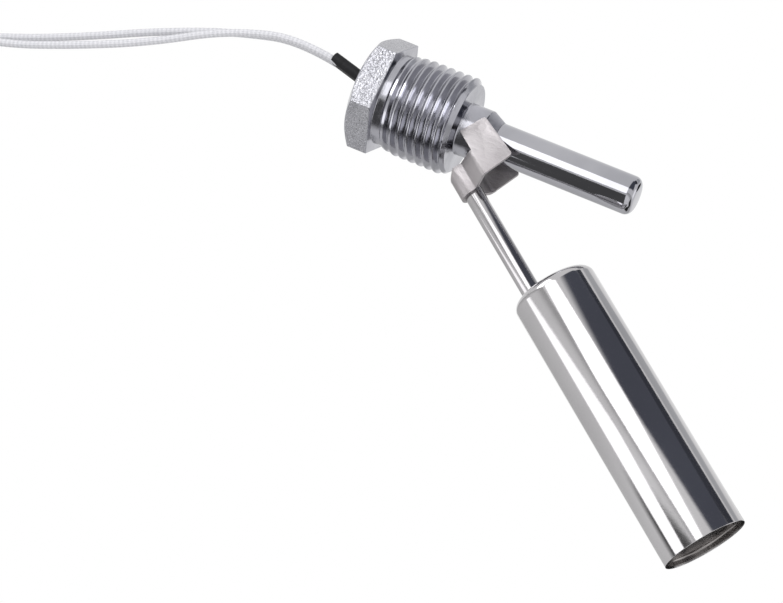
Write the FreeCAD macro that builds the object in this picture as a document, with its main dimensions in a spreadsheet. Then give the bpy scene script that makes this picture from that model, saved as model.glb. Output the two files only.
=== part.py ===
import FreeCAD, Part
import Sketcher
import math
import os

doc = FreeCAD.newDocument("float_switch")

# ---------------------------------------------------------------- sizes, in mm and degrees
# X runs along the plug's axis into the tank, Z is up, and the hinge lies along Y.
# The origin is on that axis, in the hex's seating face.
SIZES = [
    ("hex_flats", 23.0), ("hex_thick", 5.7), ("hex_rim_dia", 22.4), ("hex_bevel_deg", 30.0),
    ("thread_dia", 22.0), ("thread_end", 17.3), ("thread_bevel", 1.1), ("thread_pitch", 2.0),
    ("thread_root_dia", 19.6), ("thread_crest", 0.4), ("thread_root_flat", 0.35),
    ("relief_dia", 20.2), ("relief_len", 3.3),
    ("collar_dia", 11.6), ("collar_len", 5.0), ("cone_len", 2.9),
    ("tube_dia", 8.5), ("tube_wall", 0.7), ("tube_len", 32.3), ("tube_nose", 1.8),
    ("spigot_len", 2.0), ("seat_gap", 0.05),
    ("pot_dia", 14.0), ("pot_depth", 10.0), ("pot_sink", 0.3), ("bore_dia", 5.2),
    ("pivot_x", 22.5), ("pin_dia", 1.8), ("pin_gap", 0.05), ("pin_bite", 2.1), ("pin_end_gap", 0.3),
    ("arm_drop", 35.9),
    ("sheet", 0.8), ("ear_gap", 0.25), ("ear_back", 1.7), ("ear_front", 9.2), ("ear_front_top", 8.5),
    ("ear_top", 2.5), ("ear_back_top", 1.6), ("ear_foot", 4.5), ("ear_corner", 0.7), ("web_deg", 56.0),
    ("lobe_start", 3.2), ("lobe_end", 9.8), ("lobe_corner", 1.6), ("bend", 0.5),
    ("rod_dia", 4.2), ("rod_off", 8.43), ("rod_start", 4.2), ("rod_in_float", 2.0), ("rod_bevel", 0.3),
    ("float_dia", 18.4), ("float_start", 35.7), ("float_len", 63.0), ("float_off", 4.14),
    ("float_wall", 0.4), ("float_nose", 2.0), ("cap_sink", 1.5), ("cap_rim", 2.6), ("cap_bend", 0.9),
    ("magnet_dia", 8.0), ("magnet_len", 6.0), ("magnet_off", 2.75), ("cup_wall", 0.4), ("cup_gap", 0.05),
    ("glass_dia", 2.6), ("glass_bore", 1.7), ("glass_start", 38.3), ("glass_len", 15.0), ("glass_seal", 1.8),
    ("reed_wide", 1.0), ("reed_thick", 0.2), ("reed_gap", 0.15), ("reed_lap", 1.4), ("reed_lead", 3.2),
    ("inner_wire_dia", 0.8), ("wire_gap", 0.04), ("return_gap", 0.6), ("solder_dia", 1.3), ("solder_len", 2.2),
    ("wrap_dia", 6.8), ("wrap_wall", 0.2), ("wrap_start", 29.3), ("wrap_len", 26.5),
    ("lead_dia", 1.7), ("lead_pitch", 1.72), ("sleeve_wall", 0.35), ("sleeve_slack", 0.04),
    ("sleeve_rise", 14.5), ("sleeve_len", 10.2), ("sleeve_in_resin", 2.4), ("lead_in_resin", 0.9),
    ("lead_cross_x", -1.3),
    ("tip_dia", 0.9), ("tip_len", 6.0),
    ("coil_mean_dia", 19.0), ("coil_bundle_dia", 6.0), ("tie_wide", 2.5), ("tie_thick", 0.5),
]

sheet = doc.addObject("Spreadsheet::Sheet", "Sizes")
for row, (alias, value) in enumerate(SIZES, start=1):
    sheet.set("A%d" % row, alias)
    sheet.set("B%d" % row, str(value))
    sheet.setAlias("B%d" % row, alias)
doc.recompute()


def val(text):
    """The number that an expression on the sheet's sizes gives."""
    result = sheet.evalExpression(text)
    return float(getattr(result, "Value", result))


def bound(text):
    """The same expression, written for an object outside the sheet."""
    names = sorted((alias for alias, _ in SIZES), key=len, reverse=True)
    out = ""
    word = ""
    for char in text + " ":
        if char.isalnum() or char == "_":
            word += char
            continue
        out += "Sizes." + word if word in names else word
        out += char
        word = ""
    return out.strip()


def tie(thing, prop, text):
    thing.setExpression(prop, bound(text))


# ---------------------------------------------------------------- building blocks
def body_named(name):
    made = doc.addObject("PartDesign::Body", name)
    made.Label = name
    return made


def origin_part(body, role):
    return next(f for f in body.Origin.OriginFeatures if f.Role == role)


def sketch_on(body, role, lift=None):
    made = body.newObject("Sketcher::SketchObject", body.Name + "_sketch")
    made.AttachmentSupport = [(origin_part(body, role), "")]
    made.MapMode = "FlatFace"
    if lift is not None:
        tie(made, "AttachmentOffset.Base.z", lift)
    return made


def pin_point(sk, geo, end, at):
    """Hold one end of a line at a place given by two expressions."""
    for kind, axis, text in (("DistanceX", -2, at[0]), ("DistanceY", -1, at[1])):
        if text == "0":
            sk.addConstraint(Sketcher.Constraint("PointOnObject", geo, end, axis))
            continue
        index = sk.addConstraint(Sketcher.Constraint(kind, -1, 1, geo, end, val(text)))
        tie(sk, "Constraints[%d]" % index, text)


def outline(sk, corners):
    """A closed outline of straight edges through corners given by expressions."""
    points = [FreeCAD.Vector(val(a), val(b), 0) for a, b in corners]
    first = sk.GeometryCount
    count = len(points)
    for i in range(count):
        sk.addGeometry(Part.LineSegment(points[i], points[(i + 1) % count]), False)
    for i in range(count):
        after = first + (i + 1) % count
        sk.addConstraint(Sketcher.Constraint("Coincident", first + i, 2, after, 1))
    for i, corner in enumerate(corners):
        pin_point(sk, first + i, 1, corner)
    return sk


def circle(sk, centre, radius):
    middle = FreeCAD.Vector(val(centre[0]), val(centre[1]), 0)
    geo = sk.addGeometry(Part.Circle(middle, FreeCAD.Vector(0, 0, 1), val(radius)), False)
    index = sk.addConstraint(Sketcher.Constraint("Radius", geo, val(radius)))
    tie(sk, "Constraints[%d]" % index, radius)
    pin_point(sk, geo, 3, centre)
    return sk


def pad(body, sk, length, reverse=False, both=False):
    made = body.newObject("PartDesign::Pad", body.Name + "_pad")
    made.Profile = sk
    tie(made, "Length", length)
    made.Reversed = reverse
    made.Midplane = both
    sk.Visibility = False
    return made


def pocket_through(body, sk):
    made = body.newObject("PartDesign::Pocket", body.Name + "_pocket")
    made.Profile = sk
    made.Type = 1
    made.Midplane = True
    return made


def revolve(body, sk, groove=False):
    kind = "PartDesign::Groove" if groove else "PartDesign::Revolution"
    made = body.newObject(kind, body.Name + "_turned")
    made.Profile = sk
    made.ReferenceAxis = (origin_part(body, "X_Axis"), [""])
    made.Angle = 360
    return made


def edges_where(shape, test):
    return ["Edge%d" % (i + 1) for i, edge in enumerate(shape.Edges) if test(edge)]


def fillet(body, names, radius):
    carrier = body.Tip
    made = body.newObject("PartDesign::Fillet", body.Name + "_fillet")
    made.Base = (carrier, names)
    tie(made, "Radius", radius)
    return made


def chamfer(body, names, size):
    carrier = body.Tip
    made = body.newObject("PartDesign::Chamfer", body.Name + "_chamfer")
    made.Base = (carrier, names)
    tie(made, "Size", size)
    return made


def on_arm(body):
    """Put a body drawn from the hinge, with X down the arm, into its rest position."""
    tie(body, "Placement.Base.x", "pivot_x")
    body.Placement.Rotation = FreeCAD.Rotation(FreeCAD.Vector(0, 1, 0), val("arm_drop"))
    tie(body, "Placement.Rotation.Angle", "arm_drop * 1 deg")
    return body


def turned(name, corners):
    """A body of revolution about X from an outline in its XZ plane."""
    body = body_named(name)
    revolve(body, outline(sketch_on(body, "XZ_Plane"), corners))
    return body


# ---------------------------------------------------------------- plug with its collar
COLLAR_END = "(thread_end + collar_len)"
CONE_END = "(thread_end + collar_len + cone_len)"
TUBE_BORE = "(tube_dia / 2 - tube_wall)"
THREAD_GROOVES = 5


def make_plug():
    body = body_named("plug_body")
    hexagon = sketch_on(body, "YZ_Plane", "-hex_thick")
    corners = []
    for k in range(6):
        turn = 30 + 60 * k
        corners.append(("hex_flats / sqrt(3) * cos(%d deg)" % turn if turn % 180 != 90 else "0",
                        "hex_flats / sqrt(3) * sin(%d deg)" % turn))
    pad(body, outline(hexagon, corners), "hex_thick")
    # the turned bevel on the hex's outer face
    bevel = sketch_on(body, "XZ_Plane")
    outline(bevel, [("-hex_thick", "hex_rim_dia / 2"),
                    ("-hex_thick", "hex_flats"),
                    ("-hex_thick + (hex_flats - hex_rim_dia / 2) * tan(hex_bevel_deg * 1 deg)", "hex_flats")])
    revolve(body, bevel, groove=True)
    # relief, thread over its crests, collar, cone and spigot for the reed tube
    shank = sketch_on(body, "XZ_Plane")
    outline(shank, [("0", "0"), ("0", "relief_dia / 2"), ("relief_len", "relief_dia / 2"),
                    ("relief_len + (thread_dia - relief_dia) / 2", "thread_dia / 2"),
                    ("thread_end - thread_bevel", "thread_dia / 2"),
                    ("thread_end", "thread_dia / 2 - thread_bevel"),
                    ("thread_end", "collar_dia / 2"),
                    (COLLAR_END, "collar_dia / 2"),
                    (CONE_END, "tube_dia / 2"),
                    (CONE_END, TUBE_BORE + " - seat_gap"),
                    (CONE_END + " + spigot_len", TUBE_BORE + " - seat_gap"),
                    (CONE_END + " + spigot_len", "0")])
    revolve(body, shank)
    # the thread, as rings of its own pitch and depth
    ridges = sketch_on(body, "XZ_Plane")
    half_top = "(thread_pitch - thread_crest) / 2"
    half_root = "thread_root_flat / 2"
    for k in range(THREAD_GROOVES):
        middle = "(relief_len + (thread_dia - relief_dia) / 2 + thread_crest / 2 + %s * thread_pitch)" % (k + 0.5)
        outline(ridges, [("%s - %s" % (middle, half_root), "thread_root_dia / 2"),
                         ("%s - %s" % (middle, half_top), "thread_dia / 2"),
                         ("%s - %s" % (middle, half_top), "thread_dia / 2 + 1"),
                         ("%s + %s" % (middle, half_top), "thread_dia / 2 + 1"),
                         ("%s + %s" % (middle, half_top), "thread_dia / 2"),
                         ("%s + %s" % (middle, half_root), "thread_root_dia / 2")])
    revolve(body, ridges, groove=True)
    # the resin's well behind the hex and the wire bore on to the tube
    well = sketch_on(body, "XZ_Plane")
    outline(well, [("-hex_thick", "0"), ("-hex_thick", "pot_dia / 2"),
                   ("-hex_thick + pot_depth", "pot_dia / 2"),
                   ("-hex_thick + pot_depth", "bore_dia / 2"),
                   (CONE_END + " + spigot_len", "bore_dia / 2"),
                   (CONE_END + " + spigot_len", "0")])
    revolve(body, well, groove=True)
    # two blind pivot holes in the collar's sides
    for side in (1, -1):
        hole = sketch_on(body, "XZ_Plane", "%d * collar_dia / 2" % side)
        circle(hole, ("pivot_x", "0"), "pin_dia / 2 + pin_gap")
        drilled = body.newObject("PartDesign::Pocket", "plug_body_pivot_hole")
        drilled.Profile = hole
        tie(drilled, "Length", "pin_bite + pin_end_gap")
        drilled.Reversed = side < 0
    doc.recompute()
    return body


def make_tube():
    end = CONE_END + " + tube_len"
    body = turned("reed_tube", [
        (CONE_END, TUBE_BORE), (CONE_END, "tube_dia / 2"), (end, "tube_dia / 2"), (end, "0"),
        (end + " - tube_wall", "0"), (end + " - tube_wall", TUBE_BORE)])
    doc.recompute()
    tip = val(end)
    rim = edges_where(body.Shape, lambda e: abs(e.BoundBox.XMin - tip) < 1e-4 and e.BoundBox.YLength > 1)
    fillet(body, rim, "tube_nose")
    inner = val(end + " - tube_wall")
    doc.recompute()
    hollow = edges_where(body.Shape, lambda e: abs(e.BoundBox.XMin - inner) < 1e-4 and e.BoundBox.YLength > 1)
    fillet(body, hollow, "tube_nose - tube_wall")
    return body


# ---------------------------------------------------------------- reed switch inside the tube
RETURN_Y = "(glass_dia / 2 + inner_wire_dia / 2 + return_gap)"


def make_reed():
    mid = "(glass_start + glass_len / 2)"
    glass_end = "(glass_start + glass_len)"
    blades = []
    for name, sign in (("reed_blade_near", -1), ("reed_blade_far", 1)):
        body = body_named(name)
        sk = sketch_on(body, "XZ_Plane")
        lap = "%s - %d * reed_lap / 2" % (mid, sign)
        low = "%d * reed_gap / 2" % sign
        high = "%d * (reed_gap / 2 + reed_thick)" % sign
        out = "glass_start - reed_lead" if sign < 0 else glass_end + " + solder_dia + 0.3"
        outline(sk, [(lap, low), (lap, high), (out, high), (out, low)])
        pad(body, sk, "reed_wide", both=True)
        if sign > 0:
            # the far blade's tail turns aside to meet the return wire
            tail = sketch_on(body, "XZ_Plane")
            outline(tail, [(glass_end + " + 0.6", low), (glass_end + " + 0.6", high),
                           (out, high), (out, low)])
            pad(body, tail, RETURN_Y)
        doc.recompute()
        blades.append(body)
    shell = doc.addObject("Part::Cylinder", "glass_outside")
    tie(shell, "Radius", "glass_dia / 2")
    tie(shell, "Height", "glass_len")
    hollow = doc.addObject("Part::Cylinder", "glass_inside")
    tie(hollow, "Radius", "glass_bore / 2")
    tie(hollow, "Height", "glass_len - 2 * glass_seal")
    for made, start in ((shell, "glass_start"), (hollow, "glass_start + glass_seal")):
        made.Placement.Rotation = FreeCAD.Rotation(FreeCAD.Vector(0, 1, 0), 90)
        tie(made, "Placement.Base.x", start)
    doc.recompute()
    rounded = doc.addObject("Part::Fillet", "glass_rounded")
    rounded.Base = shell
    ends = [i + 1 for i, e in enumerate(shell.Shape.Edges) if e.BoundBox.XLength < 1e-6]
    rounded.Edges = [(i, val("glass_dia / 5"), val("glass_dia / 5")) for i in ends]
    tools = doc.addObject("Part::MultiFuse", "glass_hollow_and_blades")
    tools.Shapes = [hollow] + blades
    glass = doc.addObject("Part::Cut", "reed_glass")
    glass.Base = rounded
    glass.Tool = tools
    glass.Label = "reed_glass"
    return [glass] + blades


def straight(name, start, end, radius):
    """A round wire between two points given by expressions."""
    a = FreeCAD.Vector(*[val(t) for t in start])
    b = FreeCAD.Vector(*[val(t) for t in end])
    wire = doc.addObject("Part::Cylinder", name)
    wire.Label = name
    tie(wire, "Radius", radius)
    wire.Height = (b - a).Length
    wire.Placement = FreeCAD.Placement(a, FreeCAD.Rotation(FreeCAD.Vector(0, 0, 1), b - a))
    return wire


LEAD_END_X = "(-hex_thick + pot_sink + lead_in_resin)"
LEAD_END_Z = "((lead_cross_x - %s) * tan(sleeve_rise * 1 deg))" % LEAD_END_X


def make_inner_wires():
    near_x = "glass_start - reed_lead + solder_len / 2"
    far_x = "glass_start + glass_len + solder_dia + 0.2"
    root_x = LEAD_END_X + " + 3 * wire_gap"
    root_y = "lead_pitch / 2"
    root_z = LEAD_END_Z
    near = straight("inner_wire_near", (root_x, root_y, root_z),
                    (near_x, "0.1", "-reed_gap / 2 - reed_thick - inner_wire_dia / 2 - wire_gap"), "inner_wire_dia / 2")
    far = straight("inner_wire_far", (root_x, "-" + root_y, root_z),
                   (far_x, "-" + RETURN_Y, "reed_gap / 2 - inner_wire_dia / 2 - wire_gap"), "inner_wire_dia / 2")
    return near, far


def make_wrap():
    """The insulating tube round the switch and its return wire."""
    return turned("reed_wrap", [
        ("wrap_start", "wrap_dia / 2 - wrap_wall"), ("wrap_start", "wrap_dia / 2"),
        ("wrap_start + wrap_len", "wrap_dia / 2"), ("wrap_start + wrap_len", "wrap_dia / 2 - wrap_wall")])


def bead(name, centre, length, tools):
    """A barrel of solder along X round what it joins."""
    raw = doc.addObject("Part::Cylinder", name + "_raw")
    tie(raw, "Radius", "solder_dia / 2")
    tie(raw, "Height", length)
    raw.Placement.Rotation = FreeCAD.Rotation(FreeCAD.Vector(0, 1, 0), 90)
    for axis, text in zip("xyz", centre):
        tie(raw, "Placement.Base." + axis, text)
    tie(raw, "Placement.Base.x", "%s - %s / 2" % (centre[0], length))
    cutter = doc.addObject("Part::MultiFuse", name + "_joined")
    cutter.Shapes = tools
    made = doc.addObject("Part::Cut", name)
    made.Base = raw
    made.Tool = cutter
    made.Label = name
    return made


# ---------------------------------------------------------------- leads, sleeve and resin
RISE = math.radians(val("sleeve_rise"))
CROSS = FreeCAD.Vector(val("lead_cross_x"), 0, 0)
OUTWARD = FreeCAD.Vector(-math.cos(RISE), 0, math.sin(RISE))


def along_exit(x):
    """The point over x on the line by which the leads leave the plug."""
    return CROSS + OUTWARD * ((CROSS.x - x) / math.cos(RISE))


def stadium(half_pitch, radius, origin, length):
    """A bar of oblong section, set across the leads' exit line."""
    across = FreeCAD.Vector(0, 1, 0)
    up = OUTWARD.cross(across)
    a = origin + across * half_pitch
    b = origin - across * half_pitch
    first = Part.LineSegment(b + up * radius, a + up * radius)
    round_a = Part.Arc(a + up * radius, a + across * radius, a - up * radius)
    second = Part.LineSegment(a - up * radius, b - up * radius)
    round_b = Part.Arc(b - up * radius, b - across * radius, b + up * radius)
    wire = Part.Wire([g.toShape() for g in (first, round_a, second, round_b)])
    return Part.Face(wire).extrude(OUTWARD * length)


def path_wire(points):
    """Straight runs joined by tangent arcs, as large as the runs allow."""
    edges = []
    radii = []
    here = points[0]
    for i in range(1, len(points) - 1):
        back = points[i - 1] - points[i]
        ahead = points[i + 1] - points[i]
        turn = math.pi - back.getAngle(ahead)
        cut = 0.45 * min(back.Length, ahead.Length)
        radius = cut / math.tan(turn / 2)
        back.normalize()
        ahead.normalize()
        start = points[i] + back * cut
        end = points[i] + ahead * cut
        inward = back + ahead
        inward.normalize()
        middle = points[i] + inward * (radius / math.cos(turn / 2) - radius)
        edges.append(Part.LineSegment(here, start).toShape())
        edges.append(Part.Arc(start, middle, end).toShape())
        radii.append(round(radius, 1))
        here = end
    edges.append(Part.LineSegment(here, points[-1]).toShape())
    return Part.Wire(edges), radii


def tube_along(name, points, diameter):
    wire, radii = path_wire(points)
    first = wire.Edges[0]
    along = first.tangentAt(first.FirstParameter)
    ring = Part.Wire([Part.Circle(points[0], along, diameter / 2).toShape()])
    shape = wire.makePipeShell([ring], True, False)
    ideal = math.pi * diameter ** 2 / 4 * wire.Length
    print(name, "length", round(wire.Length, 2), "radii", radii, "volume ratio", round(shape.Volume / ideal, 5))
    made = doc.addObject("Part::Feature", name)
    made.Label = name
    made.Shape = shape
    return made


def lead_route(side):
    """The points of one lead from the resin to its coil; side 1 is the rear, upper lead."""
    y = side * val("lead_pitch") / 2
    start = along_exit(val(LEAD_END_X))
    shared = [(start.x, start.z), (-22.2, along_exit(-22.2).z), (-39.9, 1.1 if side > 0 else 0.6)]
    if side > 0:
        free = [(-55.7, -5.0), (-70.7, -12.3), (-85.9, -19.0), (-101.4, -25.3)]
        drift = [0, 0, 0.2, 0.9, 1.2, 0.9, 0.3]
    else:
        free = [(-54.9, -8.7), (-70.1, -15.9), (-85.9, -21.9), (-101.9, -27.0)]
        drift = [0, 0, 0, -0.4, -0.9, -0.6, 0.0]
    return [FreeCAD.Vector(x, y + d, z) for (x, z), d in zip(shared + free, drift)]


def make_sleeve():
    reach = val("sleeve_len") + val("sleeve_in_resin")
    start = along_exit(-val("hex_thick")) - OUTWARD * val("sleeve_in_resin")
    half = val("lead_pitch") / 2
    inner = val("lead_dia") / 2 + val("sleeve_slack")
    outer = inner + val("sleeve_wall")
    shape = stadium(half, outer, start, reach).cut(stadium(half, inner, start - OUTWARD, reach + 2))
    made = doc.addObject("Part::Feature", "lead_sleeve")
    made.Label = "lead_sleeve"
    made.Shape = shape
    return made


def make_resin(tools):
    well = doc.addObject("Part::Cylinder", "resin_fill")
    tie(well, "Radius", "pot_dia / 2")
    tie(well, "Height", "pot_depth - pot_sink")
    well.Placement.Rotation = FreeCAD.Rotation(FreeCAD.Vector(0, 1, 0), 90)
    tie(well, "Placement.Base.x", "-hex_thick + pot_sink")
    cutter = doc.addObject("Part::MultiFuse", "resin_cast_round")
    cutter.Shapes = tools
    made = doc.addObject("Part::Cut", "potting_resin")
    made.Base = well
    made.Tool = cutter
    made.Label = "potting_resin"
    return made


COIL_CENTRE = FreeCAD.Vector(-98.3, 0.0, -35.0)


def make_coil():
    ring = doc.addObject("Part::Torus", "lead_coil")
    ring.Label = "lead_coil"
    tie(ring, "Radius1", "coil_mean_dia / 2")
    tie(ring, "Radius2", "coil_bundle_dia / 2")
    ring.Placement = FreeCAD.Placement(COIL_CENTRE, FreeCAD.Rotation(FreeCAD.Vector(1, 0, 0), 90))
    band = doc.addObject("PartDesign::Body", "coil_tie")
    band.Label = "coil_tie"
    sk = sketch_on(band, "XZ_Plane")
    for radius in ("coil_bundle_dia / 2", "coil_bundle_dia / 2 + tie_thick"):
        circle(sk, ("coil_mean_dia / 2", "0"), radius)
    pad(band, sk, "tie_wide", both=True)
    band.Placement = FreeCAD.Placement(
        COIL_CENTRE, FreeCAD.Rotation(FreeCAD.Vector(0, 1, 0), -140) * FreeCAD.Rotation(FreeCAD.Vector(1, 0, 0), 90))
    return ring, band


def make_tails():
    """The short free ends of the leads past the coil, with their tinned tips."""
    made = []
    out = COIL_CENTRE.x - val("coil_mean_dia") / 2
    for name, side in (("a", 1), ("b", -1)):
        y = COIL_CENTRE.y + side * 1.3
        points = [FreeCAD.Vector(out + side * 0.6, y, COIL_CENTRE.z),
                  FreeCAD.Vector(out + side * 0.6 - 0.2, y + side * 0.4, COIL_CENTRE.z - 8.5),
                  FreeCAD.Vector(out + side * 1.2 + 0.6, y + side * 1.4, COIL_CENTRE.z - 17.0)]
        made.append(tube_along("lead_tail_" + name, points, val("lead_dia")))
        along = points[2] - points[1]
        tip = doc.addObject("Part::Cylinder", "lead_tip_" + name)
        tip.Label = "lead_tip_" + name
        tie(tip, "Radius", "tip_dia / 2")
        tie(tip, "Height", "tip_len")
        tip.Placement = FreeCAD.Placement(points[2], FreeCAD.Rotation(FreeCAD.Vector(0, 0, 1), along))
        made.append(tip)
    return made


# ---------------------------------------------------------------- yoke, pins and rod
EAR_IN = "(collar_dia / 2 + ear_gap)"
ROD_SEAT = "(rod_dia / 2)"
WEB_RISE = "((%s - %s) / tan(web_deg * 1 deg))" % (EAR_IN, ROD_SEAT)
MITRE = "(sheet * tan(web_deg * 0.5 deg))"


def make_yoke():
    body = on_arm(body_named("yoke"))
    # the sheet wrapped round the end of the rod
    ring = sketch_on(body, "YZ_Plane", "lobe_start")
    circle(ring, ("0", "-rod_off"), ROD_SEAT + " + sheet")
    circle(ring, ("0", "-rod_off"), ROD_SEAT)
    pad(body, ring, "lobe_end - lobe_start")
    # the fold is open towards the reed tube
    mouth = sketch_on(body, "YZ_Plane")
    wide = ROD_SEAT + " + sheet"
    outline(mouth, [(wide, "-rod_off"), (wide, "-rod_off + rod_dia"),
                    ("-(%s)" % wide, "-rod_off + rod_dia"), ("-(%s)" % wide, "-rod_off")])
    pocket_through(body, mouth)
    # each side runs up, flares out and turns straight again under its ear
    webs = sketch_on(body, "YZ_Plane", "lobe_start")
    for side in ("", "-"):
        outline(webs, [
            (side + ROD_SEAT, "-rod_off"),
            (side + ROD_SEAT, "-ear_foot - " + WEB_RISE),
            (side + EAR_IN, "-ear_foot"),
            (side + EAR_IN, "-ear_foot + sheet"),
            ("%s(%s + sheet)" % (side, EAR_IN), "-ear_foot + sheet"),
            ("%s(%s + sheet)" % (side, EAR_IN), "-ear_foot - " + MITRE),
            ("%s(%s + sheet)" % (side, ROD_SEAT), "-ear_foot - %s - %s" % (WEB_RISE, MITRE)),
            ("%s(%s + sheet)" % (side, ROD_SEAT), "-rod_off")])
    pad(body, webs, "lobe_end - lobe_start")
    for side in (1, -1):
        lift = "%d * (%s + sheet / 2)" % (side, EAR_IN)
        ear = sketch_on(body, "XZ_Plane", lift)
        outline(ear, [("-ear_back", "-ear_foot"), ("-ear_back", "ear_back_top"), ("ear_front_top", "ear_top"),
                      ("ear_front", "-ear_foot")])
        pad(body, ear, "sheet", both=True)
    # slanting free edges: below the ears at the front, and the fold's back corner
    trim = sketch_on(body, "XZ_Plane")
    outline(trim, [("ear_front", "-ear_foot"), ("lobe_end", "-rod_off"), ("lobe_end + 1", "-rod_off"),
                   ("lobe_end + 1", "-ear_foot + sheet + 1"), ("ear_front", "-ear_foot + sheet + 1")])
    pocket_through(body, trim)
    corner = sketch_on(body, "XZ_Plane")
    outline(corner, [("lobe_start", "-rod_off - rod_dia / 2 - sheet + lobe_corner"),
                     ("lobe_start + lobe_corner", "-rod_off - rod_dia / 2 - sheet"),
                     ("lobe_start - 1", "-rod_off - rod_dia / 2 - sheet")])
    pocket_through(body, corner)
    doc.recompute()
    soften_yoke(body)
    # holes in the ears for the pins' welded ends
    hole = sketch_on(body, "XZ_Plane")
    circle(hole, ("0", "0"), "pin_dia / 2")
    pocket_through(body, hole)
    return body


def soften_yoke(body):
    """Round the bends and the ears' corners, found by where they lie."""
    ear_in = val(EAR_IN)
    seat = val(ROD_SEAT)
    foot = -val("ear_foot")
    low = foot - val(WEB_RISE)
    mitre = val(MITRE)
    thick = val("sheet")
    outside = [(seat, low), (ear_in + thick, foot - mitre)]
    inside = [(ear_in, foot), (seat + thick, low - mitre)]
    start = val("lobe_start")

    def bend_edges(places):
        def test(edge):
            box = edge.BoundBox
            if box.XMin < start - 1e-3 or box.YLength > 1e-3 or box.ZLength > 1e-3:
                return False
            return any(abs(abs(box.Center.y) - y) < 1e-3 and abs(box.Center.z - z) < 1e-3 for y, z in places)
        return edges_where(local, test)

    for places, radius in ((outside, "bend + sheet"), (inside, "bend")):
        local = body.Tip.Shape
        fillet(body, bend_edges(places), radius)
        doc.recompute()
    shape = body.Tip.Shape

    def ear_corner(edge):
        box = edge.BoundBox
        across = box.YLength > thick - 1e-3 and box.XLength < 1e-3 and box.ZLength < 1e-3
        return across and abs(box.Center.y) > ear_in and (box.Center.z > 0 or box.Center.x < 0)

    fillet(body, edges_where(shape, ear_corner), "ear_corner")
    doc.recompute()


def make_pins():
    made = []
    for name, side in (("pivot_pin_front", 1), ("pivot_pin_rear", -1)):
        body = on_arm(body_named(name))
        sk = sketch_on(body, "XZ_Plane", "%d * (%s + sheet)" % (side, EAR_IN))
        circle(sk, ("0", "0"), "pin_dia / 2")
        pad(body, sk, "sheet + ear_gap + pin_bite", reverse=side > 0)
        made.append(body)
    return made


def make_rod():
    body = on_arm(body_named("arm_rod"))
    sk = sketch_on(body, "YZ_Plane", "rod_start")
    circle(sk, ("0", "-rod_off"), "rod_dia / 2")
    pad(body, sk, "float_start + rod_in_float - rod_start")
    doc.recompute()
    ends = edges_where(body.Shape, lambda e: e.Curve.TypeId == "Part::GeomCircle")
    chamfer(body, ends, "rod_bevel")
    return body


# ---------------------------------------------------------------- float with its magnet
def on_float(body):
    """Put a body drawn about the float's own axis, from its top, on the arm."""
    drop = math.radians(val("arm_drop"))
    off = "(rod_off - float_off)"
    body.Placement.Rotation = FreeCAD.Rotation(FreeCAD.Vector(0, 1, 0), math.degrees(drop))
    tie(body, "Placement.Rotation.Angle", "arm_drop * 1 deg")
    tie(body, "Placement.Base.x",
        "pivot_x + float_start * cos(arm_drop * 1 deg) - %s * sin(arm_drop * 1 deg)" % off)
    tie(body, "Placement.Base.z",
        "-float_start * sin(arm_drop * 1 deg) - %s * cos(arm_drop * 1 deg)" % off)
    return body


def make_shell():
    body = on_float(turned("float_shell", [
        ("0", "0"), ("0", "float_dia / 2"), ("float_len", "float_dia / 2"),
        ("float_len", "float_dia / 2 - float_wall"), ("float_wall", "float_dia / 2 - float_wall"),
        ("float_wall", "0")]))
    doc.recompute()

    def circle_at(x):
        return lambda e: e.BoundBox.YLength > 1 and abs(e.BoundBox.XMin - x) < 1e-4 and e.BoundBox.XLength < 1e-4

    fillet(body, edges_where(body.Tip.Shape, circle_at(0)), "float_nose")
    doc.recompute()
    fillet(body, edges_where(body.Tip.Shape, circle_at(val("float_wall"))), "float_nose - float_wall")
    doc.recompute()
    hole = sketch_on(body, "YZ_Plane")
    circle(hole, ("0", "-float_off"), "rod_dia / 2")
    bored = body.newObject("PartDesign::Pocket", "float_shell_rod_hole")
    bored.Profile = hole
    tie(bored, "Length", "float_wall * 2")
    bored.Reversed = True
    return body


def make_cap():
    """The dished end cap, pressed in with its rim flush with the shell's edge."""
    edge = "(float_dia / 2 - float_wall)"
    body = on_float(turned("float_cap", [
        ("float_len - cap_sink - float_wall", "0"),
        ("float_len - cap_sink - float_wall", edge),
        ("float_len", edge), ("float_len", edge + " - float_wall"),
        ("float_len - cap_sink", edge + " - float_wall"),
        ("float_len - cap_sink", "0")]))
    doc.recompute()
    back = val("float_len - cap_sink - float_wall")
    front = val("float_len - cap_sink")

    def circle_at(x, radius):
        def test(e):
            box = e.BoundBox
            return abs(box.XMin - x) < 1e-4 and box.XLength < 1e-4 and abs(box.YLength / 2 - radius) < 1e-3
        return test

    fillet(body, edges_where(body.Tip.Shape, circle_at(back, val(edge))), "cap_bend")
    doc.recompute()
    fillet(body, edges_where(body.Tip.Shape, circle_at(front, val(edge + " - float_wall"))),
           "cap_bend - float_wall")
    return body


def shift_magnet(body):
    """Draw the magnet and its cup nearer to the reed tube than the float's axis."""
    on_float(body)
    tie(body, "Placement.Base.x",
        "pivot_x + float_start * cos(arm_drop * 1 deg) - (rod_off - float_off - magnet_off) * sin(arm_drop * 1 deg)")
    tie(body, "Placement.Base.z",
        "-float_start * sin(arm_drop * 1 deg) - (rod_off - float_off - magnet_off) * cos(arm_drop * 1 deg)")
    return body


def make_magnet():
    magnet = shift_magnet(turned("float_magnet", [
        ("float_wall", "0"), ("float_wall", "magnet_dia / 2"),
        ("float_wall + magnet_len", "magnet_dia / 2"), ("float_wall + magnet_len", "0")]))
    out = "(magnet_dia / 2 + cup_gap + cup_wall)"
    deep = "(float_wall + magnet_len + cup_gap)"
    cup = shift_magnet(turned("magnet_cup", [
        ("float_wall", "magnet_dia / 2 + cup_gap"), ("float_wall", out),
        (deep + " + cup_wall", out), (deep + " + cup_wall", "0"), (deep, "0"),
        (deep, "magnet_dia / 2 + cup_gap")]))
    return magnet, cup


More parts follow.
